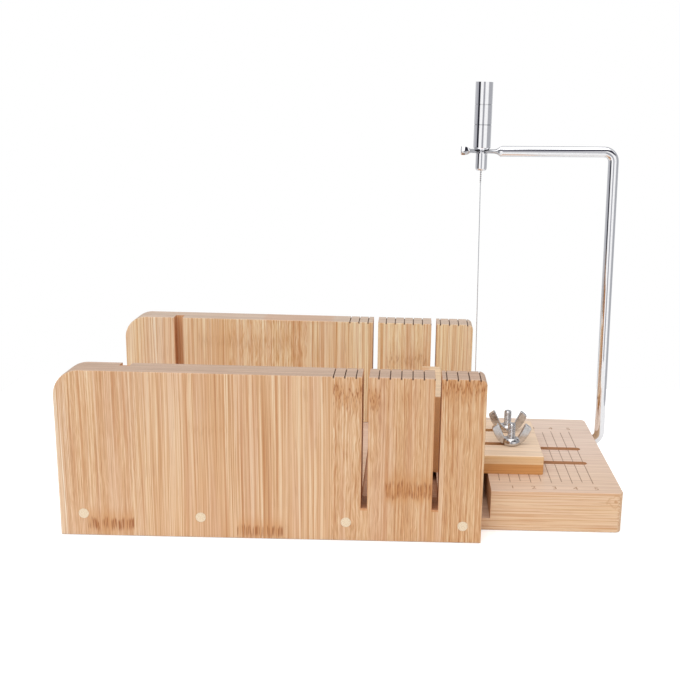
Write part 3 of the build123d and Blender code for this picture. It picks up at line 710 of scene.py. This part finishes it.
def clampBolt(name, node):
    s = boltSize
    centre = nodeCentre(node)
    bm = bmesh.new()
    # a plain skin first, then each of its points moves in where the thread's groove is
    tip = s["seat"] + s["length"]
    threadTop = tip - s["chamfer"]
    rings = round((s["length"] - s["chamfer"]) / s["pitch"] * s["stepsPerTurn"])
    side = bm.edges.new([bm.verts.new((s["radius"], 0, z)) for z in (s["seat"], threadTop)])
    bmesh.ops.subdivide_edges(bm, edges=[side], cuts=rings)
    upper = max(bm.verts, key=lambda vert: vert.co.z)
    end = [bm.verts.new((s["radius"] - s["chamfer"], 0, tip)), bm.verts.new((0, 0, tip))]
    bm.edges.new((upper, end[0]))
    bm.edges.new(end)
    spinRound(bm, s["stepsRound"])
    for vert in bm.verts:
        # the last ring before the chamfer is still part of the thread
        if s["seat"] + s["plainNeck"] < vert.co.z < threadTop + s["slack"]:
            turn = vert.co.z / s["pitch"] - math.atan2(vert.co.y, vert.co.x) / (2 * math.pi)
            groove = max(0.0, 1.0 - abs((turn % 1.0) - 0.5) * s["grooveSlope"])
            shrink = 1.0 - groove * s["rootDepth"] / s["radius"]
            vert.co.x *= shrink
            vert.co.y *= shrink
    head = bmesh.ops.create_circle(bm, cap_ends=True, segments=6, radius=s["headFlats"] / math.sqrt(3),
                                   matrix=Matrix.Translation((0, 0, s["seat"] - s["headHeight"])))["verts"]
    pullOut(bm, head[0].link_faces[0], (0, 0, s["headHeight"]))
    lowEdges = [edge for edge in touching(head, "link_edges") if all(vert in head for vert in edge.verts)]
    bmesh.ops.bevel(bm, geom=lowEdges, offset=s["headSoftening"], segments=2, affect="EDGES", profile=0.5,
                    material=-1)
    bmesh.ops.translate(bm, vec=(centre.x, centre.y, 0), verts=bm.verts)
    finishPiece(bm, name, zincPlate, "bolts", [node], smoothAngle=30.0)


clampBolt("frontBoltThreaded", "front_clamp_bolt")
clampBolt("rearBoltThreaded", "rear_clamp_bolt")
print("clamp bolts: threaded")


# forged wing nuts, welded from a turned hub and two wings, then softened
nutSize = {
    # the hub's outline: radius, height
    "hub": [(1.99, 0.0), (3.8, 0.0), (4.4, 0.5), (4.4, 1.5), (4.1, 2.6), (3.55, 3.35), (3.0, 3.7),
            (2.34, 3.65), (1.99, 3.3), (1.99, 0.0)],
    # one wing in side view, from the nut's middle out
    "wing": [(2.6, 0.35), (4.4, 0.35), (6.7, 2.2), (8.5, 4.9), (9.95, 8.2), (9.75, 8.95), (7.5, 10.8),
             (6.75, 10.6), (4.9, 6.7), (3.7, 4.2), (2.6, 3.2)],
    "thickness": 2.5, "stepsRound": 56, "voxel": 0.17, "softening": 4,
}


def wingNut(name, node, body):
    s = nutSize
    bm = bmesh.new()
    outline = [bm.verts.new((radius, 0, height)) for radius, height in s["hub"]]
    for pair in zip(outline, outline[1:]):
        bm.edges.new(pair)
    spinRound(bm, s["stepsRound"])
    for turn in (0.0, math.pi):
        near = [bm.verts.new((radius, -s["thickness"] / 2, height)) for radius, height in s["wing"]]
        far = pullOut(bm, bm.faces.new(near), (0, s["thickness"], 0))
        bmesh.ops.rotate(bm, cent=(0, 0, 0), matrix=Matrix.Rotation(turn, 3, "Z"), verts=near + far)
    bmesh.ops.recalc_face_normals(bm, faces=bm.faces)
    parts = bpy.data.meshes.new(name + "Parts")
    bm.to_mesh(parts)
    bm.free()
    blank = addObject(name + "Blank", parts)
    weld = blank.modifiers.new("weld", "REMESH")
    weld.mode = "VOXEL"
    weld.voxel_size = s["voxel"]
    welded = bpy.data.meshes.new_from_object(blank.evaluated_get(bpy.context.evaluated_depsgraph_get()))
    bpy.data.objects.remove(blank)
    bm = bmesh.new()
    bm.from_mesh(welded)
    for leftover in (parts, welded):
        bpy.data.meshes.remove(leftover)
    for _ in range(s["softening"]):
        bmesh.ops.smooth_vert(bm, verts=bm.verts, factor=0.5,
                              use_axis_x=True, use_axis_y=True, use_axis_z=True)
    centre = nodeCentre(node)
    bmesh.ops.translate(bm, vec=(centre.x, centre.y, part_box(node)[0].z / mm), verts=bm.verts)
    finishPiece(bm, name, zincPlate, body, [node], smoothAngle=180.0)


wingNut("frontNutForged", "front_wing_nut", "front_nut")
wingNut("rearNutForged", "rear_wing_nut", "rear_nut")
print("wing nuts: forged")


# cutter arm, bent from one rod and pressed flat at its free end
armSize = {
    "radius": 2.75, "y": 107.0, "startX": 192.2, "lowZ": 14.5, "cornerX": 264.606,
    "highCorner": (261.268, 173.853), "bend": 5.0, "lean": 1.2, "eye": (191.9, 172.4), "chamfer": 0.4,
    "roundSteps": 40, "bendSteps": 14, "pressedFrom": 10.8,
    # pressed end: distance left of the eye, half width, half thickness
    "pressed": [(-10.2, 2.79, 2.68), (-9.6, 2.95, 2.40), (-9.0, 3.28, 1.95), (-8.4, 3.68, 1.50),
                (-7.7, 4.02, 1.20), (-6.5, 4.20, 1.08), (-3.5, 4.20, 1.08), (0.0, 4.20, 1.08),
                (3.2, 4.18, 1.08), (4.6, 4.00, 1.06), (5.4, 3.55, 0.98), (6.2, 3.10, 1.05),
                (7.0, 2.80, 1.55), (7.7, 2.68, 2.15), (8.3, 2.72, 2.60), (8.8, 2.75, 2.73),
                (10.5, 2.75, 2.75), (10.9, 2.35, 2.35)],
    "flatFaces": 0.9,  # how flat the pressing left the upper and lower face
}


def ringTo(bm, ring, move=(0, 0, 0)):
    # carries the open end of a tube on to its next ring
    made = bmesh.ops.extrude_edge_only(bm, edges=ring)["geom"]
    verts = ofKind(made, bmesh.types.BMVert)
    bmesh.ops.translate(bm, vec=move, verts=verts)
    return [edge for edge in ofKind(made, bmesh.types.BMEdge) if all(vert in verts for vert in edge.verts)]


def ringCentre(ring):
    verts = touching(ring, "verts")
    return sum((vert.co for vert in verts), Vector()) / len(verts)


def bendRing(bm, ring, centre, angle, steps):
    made = bmesh.ops.spin(bm, geom=touching(ring, "verts") + ring, cent=centre, axis=(0, 1, 0),
                          angle=angle, steps=steps)
    return ofKind(made["geom_last"], bmesh.types.BMEdge)


def pressRing(ring, centre, halfWide, halfThick):
    # the ring keeps its points' angles and takes a flatter outline square to X
    old = ringCentre(ring)
    flat = 1.0 - min(1.0, halfThick / armSize["radius"])
    for vert in touching(ring, "verts"):
        away = vert.co - old
        angle = math.atan2(away.z, away.y)
        lift = math.sin(angle) * (1.0 + armSize["flatFaces"] * flat)
        lift = max(-1.0, min(1.0, lift))
        vert.co = centre + Vector((0, math.cos(angle) * halfWide, lift * halfThick))


def cutterArm():
    s = armSize
    lean = math.radians(s["lean"])
    start = Vector((s["startX"], s["y"], s["lowZ"]))
    bm = bmesh.new()
    # the chamfered end in the bore
    endRadius = s["radius"] - s["chamfer"]
    made = bmesh.ops.create_circle(bm, cap_ends=True, segments=s["roundSteps"], radius=endRadius,
                                   matrix=Matrix.Translation(start) @ Matrix.Rotation(math.pi / 2, 4, "Y"))
    ring = ringTo(bm, touching(made["verts"], "link_edges"), move=(s["chamfer"], 0, 0))
    grow = s["radius"] / endRadius
    bmesh.ops.scale(bm, vec=(1, grow, grow), space=Matrix.Translation(-start), verts=touching(ring, "verts"))
    # along the bore, up the leg, over the top
    bendX = s["cornerX"] - s["bend"] * math.tan(math.pi / 4 + lean / 2)
    ring = ringTo(bm, ring, move=(bendX - s["startX"] - s["chamfer"], 0, 0))
    bendCentre = (bendX, s["y"], s["lowZ"] + s["bend"])
    ring = bendRing(bm, ring, bendCentre, -(math.pi / 2 + lean), s["bendSteps"])
    upwards = Vector((-math.sin(lean), 0, math.cos(lean)))
    highX, highZ = s["highCorner"]
    upRun = (Vector((highX, s["y"], highZ)) - ringCentre(ring)).length - s["bend"]
    ring = ringTo(bm, ring, move=upwards * upRun)
    across = Vector((-math.cos(lean), 0, -math.sin(lean)))
    ring = bendRing(bm, ring, ringCentre(ring) + across * s["bend"], -math.pi / 2, s["bendSteps"])
    eyeX, eyeZ = s["eye"]
    toPressed = (ringCentre(ring).x - (eyeX + s["pressedFrom"])) / math.cos(lean)
    ring = ringTo(bm, ring, move=across * toPressed)
    for distance, halfWide, halfThick in s["pressed"]:
        ring = ringTo(bm, ring)
        pressRing(ring, Vector((eyeX - distance, s["y"], eyeZ)), halfWide, halfThick)
    bmesh.ops.edgeloop_fill(bm, edges=ring)
    finishPiece(bm, "cutterArmRod", armSteel, "arm", ["cutter_arm"], smoothAngle=50.0)


cutterArm()
print("cutter arm: bent rod with a pressed eye")


# cutting wire with its twisted tail and the coil below the rod
wireSize = {"radius": 0.22, "y": 107.0, "eyeX": 191.9, "footX": 194.2, "endZ": 9.8, "stepsRound": 10,
            # two strands wound round each other; the single wire starts inside them
            "strand": 0.2, "twistRadius": 0.24, "twistTurns": 4.35, "twistLow": 156.2, "twistHeight": 9.0,
            "insideTwist": 0.2,
            "coilRadius": 0.55, "coilTurns": 3.0, "coilLow": 9.7, "coilHeight": 1.4,
            "strandSteps": 8, "stepsPerTurn": 14}


def helix(bm, centre, radius, wire, turns, rise, startAngle=0.0):
    # a strand wound round Z, made by carrying one small ring round and up
    steepness = math.atan2(rise, 2 * math.pi * radius * turns)
    place = (Matrix.Translation(centre) @ Matrix.Rotation(startAngle, 4, "Z")
             @ Matrix.Translation((radius, 0, 0)) @ Matrix.Rotation(math.pi / 2 + steepness, 4, "X"))
    made = bmesh.ops.create_circle(bm, cap_ends=True, segments=wireSize["strandSteps"], radius=wire,
                                   matrix=place)
    steps = round(wireSize["stepsPerTurn"] * turns)
    spun = bmesh.ops.spin(bm, geom=made["verts"] + touching(made["verts"], "link_edges"), cent=centre,
                          axis=(0, 0, 1), dvec=(0, 0, rise / steps), angle=2 * math.pi * turns, steps=steps)
    bmesh.ops.edgeloop_fill(bm, edges=ofKind(spun["geom_last"], bmesh.types.BMEdge))


def cuttingWire():
    s = wireSize
    bm = bmesh.new()
    top = Vector((s["eyeX"], s["y"], s["twistLow"] + s["insideTwist"]))
    end = Vector((s["footX"], s["y"], s["endZ"]))
    run = top - end
    turn = run.to_track_quat("Z", "Y").to_matrix().to_4x4()
    bmesh.ops.create_cone(bm, cap_ends=True, segments=s["stepsRound"], radius1=s["radius"],
                          radius2=s["radius"], depth=run.length,
                          matrix=Matrix.Translation((top + end) / 2) @ turn)
    for startAngle in (0.0, math.pi):
        helix(bm, (s["eyeX"], s["y"], s["twistLow"]), s["twistRadius"], s["strand"], s["twistTurns"],
              s["twistHeight"], startAngle)
    helix(bm, (s["footX"], s["y"], s["coilLow"]), s["coilRadius"], s["radius"], s["coilTurns"],
          s["coilHeight"])
    finishPiece(bm, "cuttingWireTwisted", wireSteel, "arm", ["cutting_wire"], smoothAngle=60.0)


cuttingWire()
print("cutting wire: twisted tail and end coil")


# numbers on the ruler, burnt into the plank
rulerNumbers = {"firstX": 207.35, "pitch": 10.0, "count": 5, "rows": (20.2, 109.7), "size": 5.0,
                "z": 19.982, "halfHeight": 0.03}


def numberMesh(text):
    curve = bpy.data.curves.new("number" + text, "FONT")
    curve.body = text
    curve.size = rulerNumbers["size"]
    curve.align_x = "CENTER"
    curve.align_y = "CENTER"
    curve.extrude = rulerNumbers["halfHeight"]
    holder = addObject("number" + text, curve)
    bpy.context.view_layer.update()
    mesh = bpy.data.meshes.new_from_object(holder.evaluated_get(bpy.context.evaluated_depsgraph_get()))
    bpy.data.objects.remove(holder)
    bpy.data.curves.remove(curve)
    return mesh


def makeNumbers():
    s = rulerNumbers
    bm = bmesh.new()
    for i in range(s["count"]):
        shape = numberMesh(str(i + 1))
        for y in s["rows"]:
            already = len(bm.verts)
            bm.from_mesh(shape)
            bmesh.ops.translate(bm, vec=(s["firstX"] + i * s["pitch"], y, s["z"]), verts=bm.verts[already:])
        bpy.data.meshes.remove(shape)
    finishPiece(bm, "rulerNumbers", burntMark, "box")


makeNumbers()
print("ruler numbers")


# the white tent round the object as polished steel shows it
tent = {
    "grey": (0.45, 0.455, 0.485), "dark": (0.025, 0.025, 0.035), "white": white,
    "middle": (0.38, 0.38, 0.41), "pale": (0.43, 0.435, 0.46), "behind": (0.56, 0.565, 0.585),
    # heading in degrees from the front, left is negative
    "walls": [(-180, "behind"), (-122, "behind"), (-116, "grey"), (-84, "grey"), (-79, "dark"),
              (-54, "dark"), (-48, "white"), (-14, "white"), (-10, "middle"), (10, "middle"), (14, "white"),
              (55, "white"), (64, "pale"), (126, "pale"), (132, "behind"), (180, "behind")],
    # all in radians: the ceiling starts higher at the back, so that upper edges show against the background
    "ceilingRise": (0.55, 0.60), "backHeading": (1.75, 2.1), "backLift": 0.6,
    # a dark gap between the front walls and the ceiling
    "gapStarts": (0.34, 0.40), "gapEnds": (0.92, 0.86), "gapHeading": (1.6, 1.3), "gap": (0.04, 0.04, 0.06),
}


def makeStudioTent():
    s = tent
    group, given, result = newGroup("studioTent", [("Direction", "Vector")], [("Level", "Color")])
    part = separate(group, given["Direction"])
    heading = calc(group, "ARCTAN2", part["X"], calc(group, "MULTIPLY", part["Y"], -1.0))
    turned = calc(group, "MULTIPLY_ADD", heading, 0.5 / math.pi, 0.5)
    level = colourRamp(group, turned, [(degrees / 360 + 0.5, s[shade]) for degrees, shade in s["walls"]])
    sideways = calc(group, "ABSOLUTE", heading)
    flat = calc(group, "SQRT", calc(group, "ADD", calc(group, "MULTIPLY", part["X"], part["X"]),
                                    calc(group, "MULTIPLY", part["Y"], part["Y"])))
    rise = calc(group, "ARCTAN2", part["Z"], flat)
    lift = spread(group, sideways, *s["backHeading"], 0.0, s["backLift"])
    ceiling = spread(group, calc(group, "SUBTRACT", rise, lift), *s["ceilingRise"])
    level = blendColour(group, ceiling, level, white)
    gap = between(group, rise, s["gapStarts"], s["gapEnds"])
    gap = calc(group, "MULTIPLY", gap, spread(group, sideways, *s["gapHeading"]))
    plug(group, result["Level"], blendColour(group, gap, level, s["gap"]))
    return group


studioTent = makeStudioTent()

worldLevels = {"behindAll": 1.0, "onObject": 0.70}  # what the camera sees, and what lights the object


def makeWorld():
    world = bpy.data.worlds.new("studio")
    bpy.context.scene.world = world
    world.use_nodes = True
    tree = world.node_tree
    rays = tree.nodes.new("ShaderNodeLightPath").outputs
    seen = calc(tree, "MAXIMUM", rays["Is Camera Ray"], rays["Is Transmission Ray"])
    more = worldLevels["behindAll"] - worldLevels["onObject"]
    strength = calc(tree, "MULTIPLY_ADD", seen, more, worldLevels["onObject"])
    ambient = tree.nodes["Background"]
    plug(tree, ambient.inputs["Color"], white)
    plug(tree, ambient.inputs["Strength"], strength)
    direction = tree.nodes.new("ShaderNodeTexCoord").outputs["Generated"]
    shown = addNode(tree, "ShaderNodeBackground", {
        "Color": useGroup(tree, studioTent, direction)["Level"], "Strength": 1.0})
    both = addNode(tree, "ShaderNodeMixShader", {
        0: rays["Is Glossy Ray"], 1: ambient.outputs[0], 2: shown.outputs[0]})
    tree.links.new(both.outputs[0], tree.nodes["World Output"].inputs["Surface"])


makeWorld()

floorLook = {"halfX": 0.25, "halfY": 0.2, "z": -0.0001, "colour": (0.86, 0.86, 0.86), "roughness": 0.9,
             "glow": 0.42}


def floorMaterial():
    material = bpy.data.materials.new("paleFloor")
    material.use_nodes = True
    tree = material.node_tree
    dress(tree, floorLook["colour"], floorLook["roughness"])
    # it glows towards the camera only: the mix's first shader stays empty
    rays = tree.nodes.new("ShaderNodeLightPath").outputs
    seen = addNode(tree, "ShaderNodeEmission", {"Color": white, "Strength": floorLook["glow"]})
    glow = addNode(tree, "ShaderNodeMixShader", {0: rays["Is Camera Ray"], 2: seen.outputs[0]})
    both = addNode(tree, "ShaderNodeAddShader", {
        0: tree.nodes["Principled BSDF"].outputs[0], 1: glow.outputs[0]})
    tree.links.new(both.outputs[0], tree.nodes["Material Output"].inputs["Surface"])
    return material


def makeFloor():
    x, y, z = floorLook["halfX"], floorLook["halfY"], floorLook["z"]
    bm = bmesh.new()
    bm.faces.new([bm.verts.new(corner) for corner in ((-x, -y, z), (x, -y, z), (x, y, z), (-x, y, z))])
    mesh = bpy.data.meshes.new("floor")
    bm.to_mesh(mesh)
    bm.free()
    mesh.materials.append(floorMaterial())
    addObject("floor", mesh)


makeFloor()

lamps = {
    # place, size, power, what it points at
    "softKey": ((-0.45, -1.1, 0.95), 1.0, 6.7, (0.0, 0.0, 0.05)),
    "softTop": ((0.1, -0.1, 1.3), 1.0, 4.4, (0.0, 0.0, 0.0)),
}
for lampName, (lampPlace, size, power, target) in lamps.items():
    light = bpy.data.lights.new(lampName, "AREA")
    light.size = size
    light.energy = power
    lamp = addObject(lampName, light)
    lamp.location = lampPlace
    lamp.rotation_euler = (Vector(target) - Vector(lampPlace)).to_track_quat("-Z", "Y").to_euler()

# place in mm and directions in the row's frame; pixels are the photo's
cameraSetup = {"place": (22.626, -479.757, 194.361), "right": (0.99954, -0.00999, 0.02850),
               "down": (0.02526, -0.24052, -0.97032), "forward": (0.01655, 0.97059, -0.24016),
               "focalPixels": 981.03, "middle": (424.83, 349.04), "photoPixels": 680, "sensorWidth": 36.0}


def makeCamera():
    s = cameraSetup
    view = bpy.data.cameras.new("photoView")
    view.sensor_width = s["sensorWidth"]
    view.lens = s["focalPixels"] / s["photoPixels"] * s["sensorWidth"]
    view.shift_x = 0.5 - s["middle"][0] / s["photoPixels"]
    view.shift_y = s["middle"][1] / s["photoPixels"] - 0.5
    view.clip_start = 0.01
    camera = addObject("photoView", view)
    right, up, back = Vector(s["right"]), -Vector(s["down"]), -Vector(s["forward"])
    turn = Matrix((right, up, back)).transposed()
    camera.matrix_world = Matrix.Translation(Vector(s["place"]) * mm) @ turn.to_4x4()
    bpy.context.scene.camera = camera


makeCamera()
bpy.context.scene.view_settings.view_transform = "Standard"
print("stage, lamps and camera")
